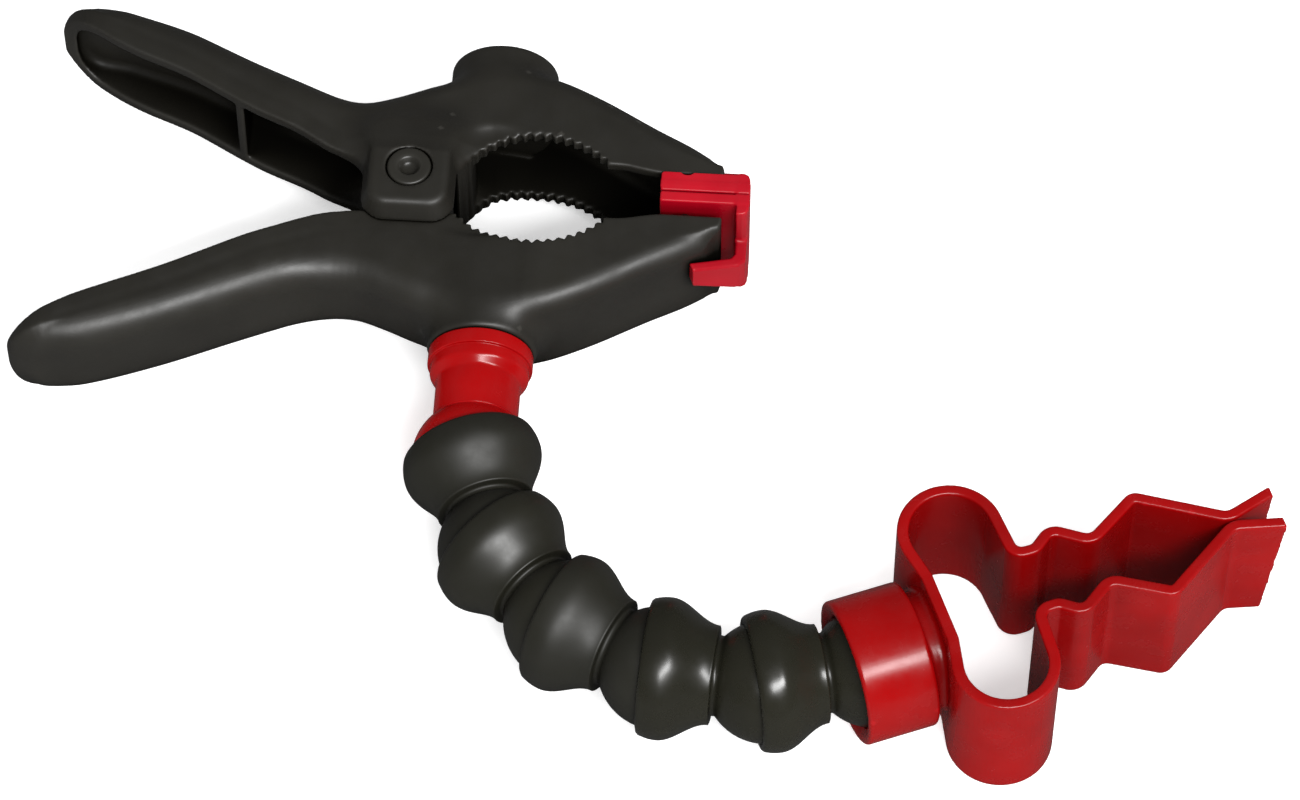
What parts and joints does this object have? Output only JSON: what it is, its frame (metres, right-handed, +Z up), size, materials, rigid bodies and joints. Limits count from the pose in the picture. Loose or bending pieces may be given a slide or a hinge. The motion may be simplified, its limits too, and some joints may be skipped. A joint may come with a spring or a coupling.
{
  "type": "airbrush holder stand",
  "caption": "Spring clamp with swivelling jaw pads carrying a ball-and-socket hose arm that ends in a wavy spring clip for holding an airbrush.",
  "frame": {"origin": "on the clamp's pivot axis, in the plane that the stand rests on", "axes": "+Z up along the clamp's pivot axis; +X from the pivot to the jaws; +Y from the arm's side to the spare boss"},
  "size_m": [0.2458, 0.1547, 0.03],
  "materials": {
    "clamp_nylon": "satin charcoal glass-filled nylon, fine moulded grain",
    "hose_black": "semi-gloss black acetal",
    "acetal_red": "semi-gloss red acetal",
    "pad_red": "satin red plastic",
    "rivet_steel": "black steel, worn at the rim",
    "spring_steel": "drawn spring wire"
  },
  "bodies": {
    "front_clamp": {"front_lever": "clamp_nylon", "pivot_rivet": "rivet_steel", "torsion_spring": "spring_steel", "hose_connector": "acetal_red"},
    "rear_clamp": {"rear_lever": "clamp_nylon"},
    "rear_pad": {"rear_jaw_pad": "pad_red"},
    "front_pad": {"front_jaw_pad": "pad_red"},
    "segment_1": {"hose_segment_1": "hose_black"},
    "segment_2": {"hose_segment_2": "hose_black"},
    "segment_3": {"hose_segment_3": "hose_black"},
    "segment_4": {"hose_segment_4": "hose_black"},
    "segment_5": {"hose_segment_5": "hose_black"},
    "clip": {"airbrush_clip": "acetal_red"}
  },
  "joints": [
    {"name": "jaw_open", "type": "hinge", "parent": "front_clamp", "child": "rear_clamp", "pos_m": [0, 0, 0.015], "axis": [0, 0, 1], "range_deg": [0, 35], "deforming": ["torsion_spring"]},
    {"name": "rear_pad_swivel", "type": "hinge", "parent": "rear_clamp", "child": "rear_pad", "pos_m": [0.054, 0.004, 0.015], "axis": [0, 0, 1], "range_deg": [-10, 10]},
    {"name": "front_pad_swivel", "type": "hinge", "parent": "front_clamp", "child": "front_pad", "pos_m": [0.054, -0.0066, 0.015], "axis": [0, 0, 1], "range_deg": [-10, 10]},
    {"name": "arm_swivel", "type": "hinge", "parent": "front_clamp", "child": "segment_1", "pos_m": [0.0162, -0.0572, 0.015], "axis": [0, 1, 0], "continuous": true},
    {"name": "bend_2", "type": "hinge", "parent": "segment_1", "child": "segment_2", "pos_m": [0.02281, -0.07639, 0.015], "axis": [0, 0, 1], "range_deg": [-48, 2]},
    {"name": "bend_3", "type": "hinge", "parent": "segment_2", "child": "segment_3", "pos_m": [0.03639, -0.09148, 0.015], "axis": [0, 0, 1], "range_deg": [-47, 3]},
    {"name": "bend_4", "type": "hinge", "parent": "segment_3", "child": "segment_4", "pos_m": [0.05464, -0.10038, 0.015], "axis": [0, 0, 1], "range_deg": [-46, 4]},
    {"name": "bend_5", "type": "hinge", "parent": "segment_4", "child": "segment_5", "pos_m": [0.07486, -0.10215, 0.015], "axis": [0, 0, 1], "range_deg": [-43.5, 6.5]},
    {"name": "clip_twist", "type": "hinge", "parent": "segment_5", "child": "clip", "pos_m": [0.0946, -0.09741, 0.015], "axis": [0.9252, 0.3795, 0], "continuous": true}
  ],
  "couplings": [
    {"joint": "rear_pad_swivel", "follows": "jaw_open", "ratio": -0.28},
    {"joint": "front_pad_swivel", "follows": "jaw_open", "ratio": 0.28}
  ]
}
